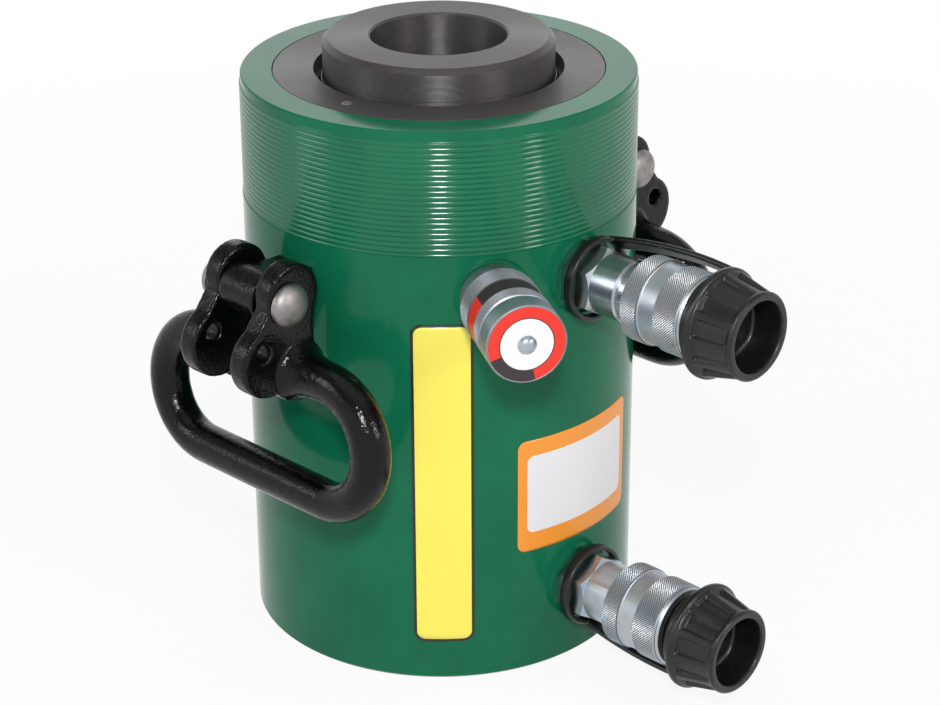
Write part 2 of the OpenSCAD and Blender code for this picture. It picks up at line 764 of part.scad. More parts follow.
// One ear: head round the pin, swollen foot, straight back edge
module ear_outline() {
    difference() {
        union() {
            translate(ear_top) circle(r = ear_top_r);
            translate(ear_lobe) circle(r = ear_lobe_r);
            translate(bow_top) circle(r = root_r);
            polygon([
                ear_top + [-ear_top_r + 2.2, -6], bow_top + [-root_r + 1, 0], bow_top + [0, -root_r + 1],
                ear_lobe + [0, -ear_lobe_r + 1], ear_lobe + (ear_lobe_r - 1.5)*[cos(38), sin(38)],
                ear_top + (ear_top_r - 1.5)*[cos(8), -sin(8)]
            ]);
        }
        circle(r = pin_d/2 + running_fit);
        translate(ear_hole) circle(d = ear_hole_d);
    }
}

// The bow: a straight bar, two half-round ends and two short arms that grow out of the ears
module bow() {
    arm_end = bow_w/2 - bow_end_r;
    translate([0, -pin_reach - bow_top[0], pin_z + bow_top[1]]) rotate([-bow_lean, 0, 0]) {
        translate([0, 0, -bow_h]) rotate([0, 90, 0]) cylinder(r = rod_r, h = 2*arm_end, center = true);
        for (side = [0, 180]) rotate([0, 0, side]) {
            translate([ear_in + 2, 0, 0]) rotate([0, 90, 0]) cylinder(r = rod_r, h = arm_end - ear_in - 2);
            translate([ear_out - 1.5, 0, 0]) rotate([0, 90, 0])
                cylinder(r1 = flare_r, r2 = rod_r - 0.6, h = flare_len + 1.5);
            translate([arm_end, 0, -bow_end_r]) rotate([90, 0, 0])
                rotate([0, 0, -90]) rotate_extrude(angle = 180) translate([bow_end_r, 0]) circle(r = rod_r);
        }
    }
}

module shackle() {
    color(forged_black) union() {
        across_pin(-ear_out, -ear_in) ear_outline();
        across_pin(ear_in, ear_out) ear_outline();
        bow();
    }
}

module left_lug() { lug(); }
module left_pin() { pin(); }
module left_shackle() { shackle(); }
module right_lug() { rotate([0, 0, 180]) lug(); }
module right_pin() { rotate([0, 0, 180]) pin(); }
module right_shackle() { rotate([0, 0, 180]) shackle(); }

barrel();
center_tube();
tube_seal();
gland_nut();
gland_seal();
gland_bearing();
rod_seal();
rod_wiper();
plunger();
piston();
piston_bearing();
piston_seal();
inner_bearing();
inner_seal();
saddle();
upper_coupler_body();
upper_coupler_collar();
upper_coupler_poppet();
upper_coupler_spring();
upper_dust_cap();
upper_cap_strap();
lower_coupler_body();
lower_coupler_collar();
lower_coupler_poppet();
lower_coupler_spring();
lower_dust_cap();
lower_cap_strap();
relief_body();
relief_seat();
relief_ball();
relief_spring();
relief_plate();
relief_screw();
left_lug();
left_pin();
left_shackle();
right_lug();
right_pin();
right_shackle();
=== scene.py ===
import json
import math

import bmesh
import bpy
import numpy as np
from mathutils import Matrix, Vector


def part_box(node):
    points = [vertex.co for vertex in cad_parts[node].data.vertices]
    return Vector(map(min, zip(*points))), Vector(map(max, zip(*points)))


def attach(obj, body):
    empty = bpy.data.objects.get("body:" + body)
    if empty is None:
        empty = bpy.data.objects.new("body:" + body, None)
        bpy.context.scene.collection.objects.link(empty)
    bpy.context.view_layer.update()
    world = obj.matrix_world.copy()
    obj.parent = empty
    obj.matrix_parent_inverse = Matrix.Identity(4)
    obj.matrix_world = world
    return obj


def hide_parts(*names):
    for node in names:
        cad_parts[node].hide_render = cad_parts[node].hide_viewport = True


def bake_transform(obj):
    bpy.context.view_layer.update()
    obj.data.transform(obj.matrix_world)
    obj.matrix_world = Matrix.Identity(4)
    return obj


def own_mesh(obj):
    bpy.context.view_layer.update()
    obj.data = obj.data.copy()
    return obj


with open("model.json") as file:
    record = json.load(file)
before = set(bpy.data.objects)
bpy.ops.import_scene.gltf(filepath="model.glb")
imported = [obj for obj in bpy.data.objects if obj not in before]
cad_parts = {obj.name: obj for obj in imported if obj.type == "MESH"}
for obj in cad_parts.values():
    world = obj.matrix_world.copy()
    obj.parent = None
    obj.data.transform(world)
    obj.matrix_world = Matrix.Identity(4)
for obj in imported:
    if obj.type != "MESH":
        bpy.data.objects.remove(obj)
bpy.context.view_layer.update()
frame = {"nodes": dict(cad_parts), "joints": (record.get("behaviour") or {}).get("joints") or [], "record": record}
nodes = frame["nodes"]
joints = {joint["name"]: joint for joint in frame["joints"]}
mm = 0.001
up = Vector((0, 0, 1))
print("frame loaded:", len(nodes), "nodes")


# shader maths: a Field is a socket that grows Math nodes when it is used in an expression

class Field:
    def __init__(self, finish, socket):
        self.finish = finish
        self.socket = socket

    def math(self, operation, *values):
        return self.finish.node("ShaderNodeMath", {"operation": operation}, dict(enumerate(values)))

    def __add__(self, other):
        return self.math("ADD", self, other)

    def __radd__(self, other):
        return self.math("ADD", other, self)

    def __sub__(self, other):
        return self.math("SUBTRACT", self, other)

    def __rsub__(self, other):
        return self.math("SUBTRACT", other, self)

    def __mul__(self, other):
        return self.math("MULTIPLY", self, other)

    def __rmul__(self, other):
        return self.math("MULTIPLY", other, self)

    def __pow__(self, other):
        return self.math("POWER", self, other)

    def __gt__(self, other):
        return self.math("GREATER_THAN", self, other)

    def __lt__(self, other):
        return self.math("LESS_THAN", self, other)

    def __abs__(self):
        return self.math("ABSOLUTE", self)

    def atLeast(self, other):
        return self.math("MAXIMUM", self, other)

    def atMost(self, other):
        return self.math("MINIMUM", self, other)

    def sine(self):
        return self.math("SINE", self)

    # 0 below low, 1 above high, smooth between
    def step(self, low, high):
        settings = {"interpolation_type": "SMOOTHSTEP"}
        return self.finish.node("ShaderNodeMapRange", settings, {"Value": self, 1: low, 2: high})


class Finish:
    # a material, or the world: constants go straight on the shader, what varies is fed in
    def __init__(self, name, constants, kept=bpy.data.materials, shader="Principled BSDF"):
        self.material = kept.new(name)
        self.material.use_nodes = True
        self.tree = self.material.node_tree
        self.shader = self.tree.nodes[shader]
        for key, value in constants.items():
            self.shader.inputs[key].default_value = value

    def feed(self, socket, value):
        if isinstance(value, Field):
            self.tree.links.new(value.socket, socket)
        else:
            socket.default_value = value

    def node(self, kind, settings=None, sockets=None, output=0):
        made = self.tree.nodes.new(kind)
        for key, value in (settings or {}).items():
            setattr(made, key, value)
        for key, value in (sockets or {}).items():
            self.feed(made.inputs[key], value)
        return Field(self, made.outputs[output])

    def surface(self, **fields):
        for key, value in fields.items():
            self.feed(self.shader.inputs[key.replace("_", " ")], value)

    def vector(self, operation, *values, output=0):
        sockets = dict(enumerate(values))
        return self.node("ShaderNodeVectorMath", {"operation": operation}, sockets, output)

    # position in the part's own frame, in metres
    def place(self):
        return self.node("ShaderNodeTexCoord", output=3)

    def along(self, origin, direction):
        offset = self.vector("SUBTRACT", self.place(), origin)
        return self.vector("DOT_PRODUCT", offset, direction, output=1)

    # noise with features of about this size in millimetres
    def noise(self, size, detail=3.0, rough=0.55, stretch=None):
        vector = self.place()
        if stretch:
            vector = self.vector("MULTIPLY", vector, stretch)
        sockets = {"Vector": vector, "Scale": 1 / (size * mm), "Detail": detail, "Roughness": rough}
        return self.node("ShaderNodeTexNoise", {}, sockets)

    def mix(self, factor, first, second):
        return self.node("ShaderNodeMix", {"data_type": "RGBA"}, {0: factor, 6: first, 7: second}, 2)

    # height is in millimetres
    def bump(self, height):
        sockets = {"Strength": 1.0, "Distance": mm, "Height": height}
        self.surface(Normal=self.node("ShaderNodeBump", {}, sockets))

    # 1 for what the camera sees, straight or mirrored in metal or through glass
    def seen(self):
        rays = ("Is Camera Ray", "Is Glossy Ray", "Is Transmission Ray")
        camera, glossy, clear = [self.node("ShaderNodeLightPath", output=ray) for ray in rays]
        return camera.atLeast(glossy).atLeast(clear)


def rgb(red, green, blue):
    # a colour written as screen values from 0 to 255
    parts = [c / 255 for c in (red, green, blue)]
    linear = [c / 12.92 if c <= 0.04 else ((c + 0.055) / 1.055) ** 2.4 for c in parts]
    return (*linear, 1.0)


# green enamel on the barrel

enamelSettings = {
    "colour": rgb(16, 106, 74),
    "deep": rgb(12, 92, 64),
    "dust": rgb(110, 136, 122),
    "peelSize": 1.6,
    "peelHeight": 0.004,
    "roughness": 0.1,
    "gloss": 0.13,
    "threadGloss": 0.3,
}


def greenEnamel(name, gloss):
    s = enamelSettings
    paint = Finish(name, {"Specular IOR Level": gloss, "Coat Roughness": 0.04})
    cloud = paint.noise(38, 4)
    fleck = paint.noise(0.7, 2)
    tone = paint.mix(cloud.step(0.35, 0.7) * 0.6, s["colour"], s["deep"])
    dusty = paint.noise(9, 6, 0.7).step(0.62, 0.86) * 0.1
    paint.surface(Base_Color=paint.mix(dusty, tone, s["dust"]))
    scuff = paint.noise(6, 5, 0.65, (1.0, 1.0, 0.25)).step(0.58, 0.8)
    paint.surface(Roughness=s["roughness"] + 0.06 * cloud + 0.14 * scuff)
    paint.surface(Coat_Weight=0.07 - 0.06 * scuff)
    paint.bump(s["peelHeight"] * paint.noise(s["peelSize"], 2) + 0.0012 * fleck)
    return paint.material


# dark phosphated steel of saddle, gland nut and plunger, with fine turning marks round the axis

steelSettings = {
    "colour": rgb(62, 60, 64),
    "brown": rgb(62, 56, 55),
    "dark": rgb(34, 32, 36),
    "turnPitch": 0.45,
    "turnHeight": 0.036,
}


def darkSteel():
    s = steelSettings
    steel = Finish("dark_steel", {"Specular IOR Level": 0.55, "Metallic": 0.15})
    across = steel.along((0, 0, 0), (1, 0, 0))
    side = steel.along((0, 0, 0), (0, 1, 0))
    radius = (across * across + side * side) ** 0.5
    height = steel.along((0, 0, 0), (0, 0, 1))
    turns = ((radius + height) * (2 * math.pi / (s["turnPitch"] * mm)) + 7 * steel.noise(14, 3)).sine()
    patch = steel.noise(22, 5, 0.6)
    speck = steel.noise(1.1, 4, 0.7)
    tone = steel.mix(patch.step(0.38, 0.66), s["colour"], s["brown"])
    tone = steel.mix(speck.step(0.52, 0.8) * 0.55, tone, s["dark"])
    steel.surface(Base_Color=tone)
    steel.surface(Roughness=0.22 + 0.14 * patch + 0.08 * speck)
    steel.bump(s["turnHeight"] * turns + 0.01 * speck)
    return steel.material


# bright zinc plate, with the faint blue and straw tints of its passivation

zincSettings = {
    "colour": rgb(184, 189, 194),
    "blue": rgb(156, 175, 194),
    "straw": rgb(186, 172, 148),
    # grime is the colour of random stains, and also of the painted shade in the knurl valleys
    "grime": rgb(78, 75, 72),
}


def zincPlate(name, roughness, grime, valley=None):
    s = zincSettings
    zinc = Finish(name, {"Metallic": 1.0})
    cloud = zinc.noise(11, 4)
    other = zinc.noise(17, 3, 0.5, (1.0, 1.3, 0.8))
    stain = zinc.noise(4.5, 6, 0.68)
    fine = zinc.noise(0.35, 2)
    tone = zinc.mix(cloud.step(0.42, 0.68) * 0.75, s["colour"], s["blue"])
    tone = zinc.mix(other.step(0.55, 0.74) * 0.5, tone, s["straw"])
    tone = zinc.mix(stain.step(0.55, 0.82) * grime, tone, s["grime"])
    if valley:
        # painted shade at the bottom of the knurl, laid in the grime colour
        origin, axis, low, high = valley
        right = up.cross(axis).normalized()
        across = zinc.along(origin, right)
        height = zinc.along(origin, axis.cross(right))
        radius = (across * across + height * height) ** 0.5
        valleyShade = radius.step(low - 0.3 * mm, low - 0.1 * mm) - radius.step(low, high)
        tone = zinc.mix(valleyShade * 0.7, tone, s["grime"])
    zinc.surface(Base_Color=tone)
    zinc.surface(Roughness=roughness + 0.16 * stain + 0.06 * fine)
    zinc.bump(0.004 * fine + 0.006 * stain)
    return zinc.material


# moulded black rubber of caps, straps and seals

rubberSettings = {
    "colour": rgb(17, 16, 18),
    "bloom": rgb(46, 44, 47),
    "grain": 0.5,
}


def blackRubber():
    s = rubberSettings
    rubber = Finish("black_rubber", {"Specular IOR Level": 0.46})
    bloom = rubber.noise(7, 5, 0.65)
    grain = rubber.noise(s["grain"], 3)
    rubber.surface(Base_Color=rubber.mix(bloom.step(0.5, 0.8) * 0.5, s["colour"], s["bloom"]))
    rubber.surface(Roughness=0.22 + 0.18 * bloom + 0.06 * grain)
    rubber.bump(0.016 * grain + 0.03 * rubber.noise(3.5, 2))
    return rubber.material


# black enamel over the rough skin of a forging

forgedSettings = {
    "colour": rgb(7, 6, 8),
    "worn": rgb(66, 54, 44),
    "scaleSize": 1.3,
    "scaleHeight": 0.2,
    "lumpHeight": 0.2,
}


def forgedEnamel():
    s = forgedSettings
    forged = Finish("forged_black", {"Specular IOR Level": 0.24})
    scale = forged.noise(s["scaleSize"], 2)
    lump = forged.noise(5, 2)
    worn = forged.noise(2.2, 6, 0.7).step(0.66, 0.84)
    forged.surface(Base_Color=forged.mix(worn * 0.5, s["colour"], s["worn"]))
    forged.surface(Roughness=0.09 + 0.1 * lump + 0.2 * worn)
    forged.bump(s["scaleHeight"] * scale + s["lumpHeight"] * lump)
    return forged.material


# plain finishes of what is inside

def plainMetal(name, colour, roughness, size):
    metal = Finish(name, {"Metallic": 1.0})
    cloud = metal.noise(size, 4)
    fine = metal.noise(size * 0.06, 2)
    darker = tuple(0.62 * c for c in colour[:3]) + (1.0,)
    metal.surface(Base_Color=metal.mix(cloud.step(0.35, 0.75), colour, darker))
    metal.surface(Roughness=roughness + 0.15 * cloud)
    metal.bump(0.006 * fine)
    return metal.material


def sealPolymer():
    polymer = Finish("seal_polymer", {"Specular IOR Level": 0.4})
    cloud = polymer.noise(8, 4)
    polymer.surface(Base_Color=polymer.mix(cloud.step(0.3, 0.75), rgb(206, 164, 92), rgb(178, 132, 66)))
    polymer.surface(Roughness=0.38 + 0.2 * cloud)
    polymer.bump(0.01 * polymer.noise(0.9, 3))
    return polymer.material


finishes = {
    "green_paint": greenEnamel("green_enamel", enamelSettings["gloss"]),
    "dark_steel": darkSteel(),
    "zinc_plate": zincPlate("zinc_plate", 0.2, 0.45),
    "spring_steel": plainMetal("spring_steel", rgb(150, 150, 154), 0.3, 6),
    "black_rubber": blackRubber(),
    "seal_polymer": sealPolymer(),
    "bearing_bronze": plainMetal("bearing_bronze", rgb(186, 138, 74), 0.38, 9),
    "forged_black": forgedEnamel(),
    "face_plate": zincPlate("face_plate_back", 0.3, 0.3),
}
pinSteel = plainMetal("pin_steel", rgb(158, 154, 154), 0.42, 7)
for subpart in frame["record"]["subparts"]:
    node = nodes[subpart["node"]]
    node.data.materials.clear()
    node.data.materials.append(finishes[subpart["material_slot"]])
for side in ("left", "right"):
    nodes[side + "_pin"].data.materials[0] = pinSteel
print("finishes made:", len(finishes))


# mesh helpers

def newPiece(name, points, faces, material, body, smooth=True):
    mesh = bpy.data.meshes.new(name)
    mesh.from_pydata(points, [], faces)
    bm = bmesh.new()
    bm.from_mesh(mesh)
    bmesh.ops.remove_doubles(bm, verts=bm.verts, dist=0.002 * mm)
    bmesh.ops.recalc_face_normals(bm, faces=bm.faces)
    bm.to_mesh(mesh)
    bm.free()
    mesh.polygons.foreach_set("use_smooth", [smooth] * len(mesh.polygons))
    mesh.materials.append(material)
    piece = bpy.data.objects.new(name, mesh)
    bpy.context.scene.collection.objects.link(piece)
    if body:
        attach(piece, body)
    return piece


def portFrame(origin, axis):
    # local x is right and y is up as seen from outside, z points outwards, in millimetres
    axis = Vector(axis).normalized()
    right = up.cross(axis).normalized()
    turn = Matrix((right, axis.cross(right), axis)).transposed().to_4x4()
    return Matrix.Translation(origin) @ turn @ Matrix.Scale(mm, 4)


def span(node, place):
    # start, end and greatest radius of a turned node along a port's axis, in millimetres
    inverse = place.inverted()
    points = [inverse @ v.co for v in nodes[node].data.vertices]
    along = [p.z for p in points]
    return min(along), max(along), max(math.hypot(p.x, p.y) for p in points)


def softLine(corners, step):
    # a profile of (along, radius, fillet) corners, rounded, with a point at every step
    line = [Vector(corners[0][:2])]
    for before, corner, after in zip(corners, corners[1:], corners[2:]):
        here = Vector(corner[:2])
        back = Vector(before[:2]) - here
        ahead = Vector(after[:2]) - here
        cut = min(corner[2], 0.45 * back.length, 0.45 * ahead.length)
        first = here + back.normalized() * cut
        last = here + ahead.normalized() * cut
        arc = 5 if cut > 0 else 1
        for i in range(arc):
            t = i / max(arc - 1, 1)
            line.append((1 - t) ** 2 * first + 2 * t * (1 - t) * here + t * t * last)
    line.append(Vector(corners[-1][:2]))
    filled = [line[0]]
    for start, end in zip(line, line[1:]):
        count = max(1, math.ceil((end - start).length / step))
        filled += [start.lerp(end, (i + 1) / count) for i in range(count)]
    return [(p.x, p.y, None) for p in filled]


def knurlBand(start, end, radius, pitch):
    # rows of a knurled band, each with its row number
    rows = max(2, round((end - start) / (pitch / 2)))
    return [(start + (end - start) * j / rows, radius, j) for j in range(rows + 1)]


def spin(name, stations, around, place, material, body, lift=None, knurlDepth=0.0, closed=False):
    # turns (along, radius, knurl row) stations round a port's axis
    # every other point of a knurl row dips
    angle = np.linspace(0, 2 * math.pi, around, endpoint=False)
    along = np.array([s[0] for s in stations])[:, None] + 0 * angle
    radius = np.array([s[1] for s in stations])[:, None] + 0 * angle
    index = np.arange(around)
    for i, station in enumerate(stations):
        if station[2] is not None:
            radius[i] -= knurlDepth * ((index + station[2]) % 2 == 0)
    if lift:
        radius = radius + lift(angle[None, :], along)
    points = np.stack([radius * np.cos(angle), radius * np.sin(angle), along], axis=-1)
    faces = []
    last = len(stations) if closed else len(stations) - 1
    for i in range(last):
        ahead = (i + 1) % len(stations)
        knurled = stations[i][2] is not None and stations[ahead][2] is not None
        for k in range(around):
            beside = (k + 1) % around
            quad = [i * around + k, i * around + beside, ahead * around + beside, ahead * around + k]
            if not knurled:
                faces.append(quad)
            elif (k + stations[i][2]) % 2 == 0:
                faces += [(quad[0], quad[1], quad[2]), (quad[0], quad[2], quad[3])]
            else:
                faces += [(quad[0], quad[1], quad[3]), (quad[1], quad[2], quad[3])]
    inRow = [tuple(place @ Vector(p)) for p in points.reshape(-1, 3)]
    piece = newPiece(name, inRow, faces, material, body)
    if any(s[2] is not None for s in stations):
        markKnurl(piece, place, stations)
    return piece


def markKnurl(piece, place, stations):
    # the facets of a knurl stay crisp
    rows = [s[0] for s in stations if s[2] is not None]
    inverse = place.inverted()
    for face in piece.data.polygons:
        if len(face.vertices) == 3 and min(rows) <= (inverse @ face.center).z <= max(rows):
            face.use_smooth = False


def settled(piece):
    # applies a piece's modifiers to its mesh
    shown = piece.evaluated_get(bpy.context.evaluated_depsgraph_get())
    mesh = bpy.data.meshes.new_from_object(shown)
    piece.modifiers.clear()
    piece.data = mesh
    mesh.polygons.foreach_set("use_smooth", [True] * len(mesh.polygons))


def softened(piece, voxel, rounds):
    # one skin over everything in the mesh, with edges as soft as a forging's
    remesh = piece.modifiers.new("skin", "REMESH")
    remesh.mode = "VOXEL"
    remesh.voxel_size = voxel * mm
    soft = piece.modifiers.new("soft", "SMOOTH")
    soft.factor = 0.5
    soft.iterations = rounds
    settled(piece)


def sweep(route, frameOf, section):
    # carries a section, a list of (across, height) points made by section(i), along a route
    points = []
    for i, centre in enumerate(route):
        across, height = frameOf(i)
        points += [centre + across * p[0] + height * p[1] for p in section(i)]
    count = len(points) // len(route)
    faces = []
    for i in range(len(route) - 1):
        for k in range(count):
            beside = (k + 1) % count
            here, ahead = i * count, (i + 1) * count
            faces.append([here + k, here + beside, ahead + beside, ahead + k])
    faces.append(list(range(count)))
    faces.append([(len(route) - 1) * count + k for k in range(count)])
    return points, faces


# lifting shackles: forged ears and bow, in the plane across the pin, in millimetres

shackleSettings = {
    "head": (-3.5, 2.5, 12.6),
    "foot": (8.5, -21.5, 14.4),
    "root": (-5.4, -29.3, 8.8),
    "ears": (10.0, 18.7),
    "rodRadius": 8.0,
    "flareGrowth": 4.6,
    "flareLength": 4.5,
    "bowWidth": 117.4,
    "bowHeight": 48.4,
    "lean": 4.3,
    "pinRadius": 6.3,
    "hole": (12.3, -16.7, 3.5),
    "drillReach": 40.0,
    "voxel": 0.7,
    "joinRounds": 2,
    "softRounds": 7,
}
lugSettings = {"voxel": 0.5, "softRounds": 6}


def disc(centre, radius, count=64):
    turn = [2 * math.pi * i / count for i in range(count)]
    return [(centre[0] + radius * math.cos(a), centre[1] + radius * math.sin(a)) for a in turn]


def plate(outline, low, high):
    count = len(outline)
    points = [Vector((x, *p)) for x in (low, high) for p in outline]
    faces = [[k, (k + 1) % count, count + (k + 1) % count, count + k] for k in range(count)]
    return points, faces + [list(range(count))[::-1], list(range(count, 2 * count))]


def bowRoute(s):
    # from inside one ear round the bow to the other ear: across, outwards, up
    bend = s["bowHeight"] / 2
    arm = s["bowWidth"] / 2 - bend
    flat = [(-x, 0.0) for x in np.linspace(s["ears"][0] + 2, arm, 24)]
    turns = np.linspace(0.06, math.pi, 34)
    flat += [(-arm - bend * math.sin(a), bend - bend * math.cos(a)) for a in turns]
    flat += [(x, s["bowHeight"]) for x in np.linspace(-arm, 0, 8)[1:]]
    flat += [(-x, drop) for x, drop in flat[-2::-1]]
    lean = math.radians(s["lean"])
    return [
        Vector((x, s["root"][0] + drop * math.sin(lean), s["root"][1] - drop * math.cos(lean)))
        for x, drop in flat
    ]


def bowMesh(s):
    route = bowRoute(s)
    lean = math.radians(s["lean"])
    normal = Vector((0, math.cos(lean), math.sin(lean)))

    def frameOf(i):
        tangent = (route[min(i + 1, len(route) - 1)] - route[max(i - 1, 0)]).normalized()
        return normal, normal.cross(tangent)

    def section(i):
        beyondEar = max(0.0, abs(route[i].x) - s["ears"][1])
        onArm = abs(route[i].z - s["root"][1]) < 6
        growth = s["flareGrowth"] * math.exp(-beyondEar / s["flareLength"]) if onArm else 0.0
        return disc((0, 0), s["rodRadius"] + growth, 32)

    return sweep(route, frameOf, section)


def joined(parts):
    points = []
    faces = []
    for partPoints, partFaces in parts:
        faces += [[len(points) + i for i in face] for face in partFaces]
        points += partPoints
    return points, faces


def earParts(s, low, high):
    head, foot, root = s["head"], s["foot"], s["root"]
    web = [
        (head[0] - 10.4, head[1] - 6), (root[0] - root[2] + 1, root[1]),
        (root[0], root[1] - root[2] + 1), (foot[0], foot[1] - foot[2] + 1),
        (foot[0] + 10.2, foot[1] + 7.9), (head[0] + 11.0, head[1] - 1.5),
    ]
    outlines = [disc(c[:2], c[2]) for c in (head, foot, root)] + [web]
    return [plate(outline, low, high) for outline in outlines]


def drill(piece, holes, toRow, reach):
    # cuts round holes right across a shackle
    for centre, radius in holes:
        points, faces = plate(disc(centre, radius, 48), -reach, reach)
        mesh = bpy.data.meshes.new("drill")
        mesh.from_pydata([toRow(p) for p in points], [], faces)
        cutter = bpy.data.objects.new("drill", mesh)
        bpy.context.scene.collection.objects.link(cutter)
        bm = bmesh.new()
        bm.from_mesh(mesh)
        bmesh.ops.recalc_face_normals(bm, faces=bm.faces)
        bm.to_mesh(mesh)
        bm.free()
        cut = piece.modifiers.new("hole", "BOOLEAN")
        cut.operation = "DIFFERENCE"
        cut.object = cutter
        settled(piece)
        bpy.data.objects.remove(cutter)


def makeShackle(side):
    s = shackleSettings
    pin = Vector(joints[side + "_shackle_pivot"]["pos_m"])
    outward = math.copysign(1, pin.y)

    def toRow(p):
        return pin + Vector((p.x, outward * p.y, p.z)) * mm

    near, far = s["ears"]
    points, faces = joined([bowMesh(s)] + earParts(s, near, far) + earParts(s, -far, -near))
    material = finishes["forged_black"]
    inRow = [toRow(p) for p in points]
    piece = newPiece(side + "_shackle_forging", inRow, faces, material, None)
    softened(piece, s["voxel"], s["joinRounds"])
    holes = [((0, 0), s["pinRadius"]), (s["hole"][:2], s["hole"][2])]
    drill(piece, holes, toRow, s["drillReach"])
    softened(piece, s["voxel"], s["softRounds"])
    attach(piece, side + "_shackle_swing")
    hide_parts(side + "_shackle")


def makeLug(side):
    node = nodes[side + "_lug"]
    points = [v.co.copy() for v in node.data.vertices]
    faces = [list(face.vertices) for face in node.data.polygons]
    material = finishes["forged_black"]
    piece = newPiece(side + "_lug_forging", points, faces, material, None)
    softened(piece, lugSettings["voxel"], lugSettings["softRounds"])
    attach(piece, "barrel_assembly")
    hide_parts(side + "_lug")


for side in ("left", "right"):
    makeShackle(side)
    makeLug(side)
print("shackles forged")


# couplers: knurled collar, rubber cap and strap on each

collarSettings = {
    "band": 9.0,
    "groove": 7.3,
    "lipRadius": 11.06,
    "lip": 4.8,
    "socketRadius": 12.4,
    "grooveDepth": 0.95,
    "knurlPitch": 1.08,
    "knurlDepth": 0.36,
}


def knurledZinc(name, place, radius, depth):
    axis = place.to_3x3().col[2].normalized()
    # the knurl floor and depth, where the zinc gets painted shade
    valley = (place.translation, axis, (radius - depth) * mm, (radius - 0.25 * depth) * mm)
    return zincPlate(name, 0.34, 0.4, valley)


def makeCollar(side, place):
    s = collarSettings
    node = side + "_coupler_collar"
    start, end, radius = span(node, place)
    material = knurledZinc(side + "_knurled_zinc", place, radius, s["knurlDepth"])
    bandStart = start + 1.0
    grooveLow = start + s["band"]
    grooveHigh = grooveLow + s["groove"]
    frontEnd = end - 2.2
    floor = radius - s["knurlDepth"]
    rear = softLine([
        (start, s["lipRadius"], 0), (start, radius - 1.4, 0.4),
        (start + 0.8, floor, 0.3), (bandStart, floor, 0),
    ], 0.8)
    middle = softLine([
        (grooveLow - 0.6, floor, 0), (grooveLow - 0.4, floor, 0.1),
        (grooveLow, radius - s["grooveDepth"], 0.2), (grooveHigh, radius - s["grooveDepth"], 0.2),
        (grooveHigh + 0.4, floor, 0.1), (grooveHigh + 0.6, floor, 0),
    ], 0.8)
    front = softLine([
        (frontEnd, floor, 0), (frontEnd + 0.1, radius - 0.1, 0.1), (end - 1.5, radius - 0.15, 0.4),
        (end, radius - 1.25, 0.3), (end, s["socketRadius"] + 0.7, 0.3),
        (end - 0.8, s["socketRadius"], 0.3), (start + s["lip"], s["socketRadius"], 0.2),
        (start + s["lip"], s["lipRadius"], 0.2),
    ], 0.8)
    stations = rear + knurlBand(bandStart, grooveLow - 0.6, radius, s["knurlPitch"])
    stations += middle + knurlBand(grooveHigh + 0.6, frontEnd, radius, s["knurlPitch"]) + front
    around = 2 * round(2 * math.pi * radius / s["knurlPitch"])
    piece = spin(
        side + "_knurled_collar", stations, around, place, material, side + "_collar",
        knurlDepth=s["knurlDepth"], closed=True,
    )
    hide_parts(node)


capSettings = {
    "length": 24.4,
    "skirt": 4.2,
    "skirtRadius": 17.5,
    "flange": 3.2,
    "bodyStep": 1.2,
    "endRadius": 17.3,
    "cupDepth": 13.0,
    "wall": 3.4,
    "plugRadius": 12.05,
    "flutes": 12,
    "stepsPerFlute": 24,
    "rib": 2.6,
    "fluteRun": (8.2, 21.8),
    "fluteDepth": (1.9, 0.8),
}


def smoothStep(value, low, high):
    t = np.clip((value - low) / (high - low), 0, 1)
    return t * t * (3 - 2 * t)


def makeCap(side, place):
    s = capSettings
    node = side + "_dust_cap"
    plug, end, radius = span(node, place)
    capStart = end - s["length"]
    body = radius - s["bodyStep"]
    flangeStart = capStart + s["skirt"]
    flangeEnd = flangeStart + s["flange"]
    cup = s["endRadius"] - s["wall"]
    low, high = capStart + s["fluteRun"][0], capStart + s["fluteRun"][1]
    sector = 2 * math.pi / s["flutes"]

    def flutes(angle, along):
        fromRib = np.abs((angle / sector) % 1 - 0.5)
        width = s["rib"] / (sector * body)
        panel = smoothStep(0.5 - fromRib, width / 2, width / 2 + 0.07)
        run = smoothStep(along, low - 0.4, low + 0.4) * (1 - smoothStep(along, high - 0.4, high + 0.4))
        deep, shallow = s["fluteDepth"]
        depth = deep + (shallow - deep) * (along - low) / (high - low)
        outside = np.arange(along.shape[0])[:, None] < outerCount
        return -depth * panel * run * outside

    outer = softLine([
        (plug, 0, 0), (plug, s["plugRadius"] - 1.2, 0.6), (plug + 1.5, s["plugRadius"], 0.6),
        (capStart, s["plugRadius"], 0.2), (capStart, s["skirtRadius"] - 0.6, 0.4),
        (capStart + 0.7, s["skirtRadius"], 0.5), (flangeStart + 0.05, s["skirtRadius"], 0.6),
        (flangeStart + 0.05, radius - 0.8, 0.5), (flangeStart + 0.9, radius - 0.02, 0.6),
        (flangeEnd - 0.7, radius - 0.02, 0.5), (flangeEnd, body, 0.4),
        (end - 2.0, s["endRadius"] - 0.35, 0.4), (end - 1.6, s["endRadius"], 0.4),
        (end - 0.8, s["endRadius"], 0.6), (end, s["endRadius"] - 0.9, 0.5),
    ], 0.4)
    outerCount = len(outer)
    inner = softLine([
        (end, s["endRadius"] - 1.0, 0), (end, cup + 0.3, 0.7), (end - 1.2, cup - 0.1, 0.6),
        (end - s["cupDepth"], cup - 1.2, 1.6), (end - s["cupDepth"], 0, 0),
    ], 0.8)
    around = s["flutes"] * s["stepsPerFlute"]
    piece = spin(
        side + "_rubber_cap", outer + inner, around, place, finishes["black_rubber"],
        side + "_cap", lift=flutes,
    )
    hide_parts(node)
    return flangeStart, radius


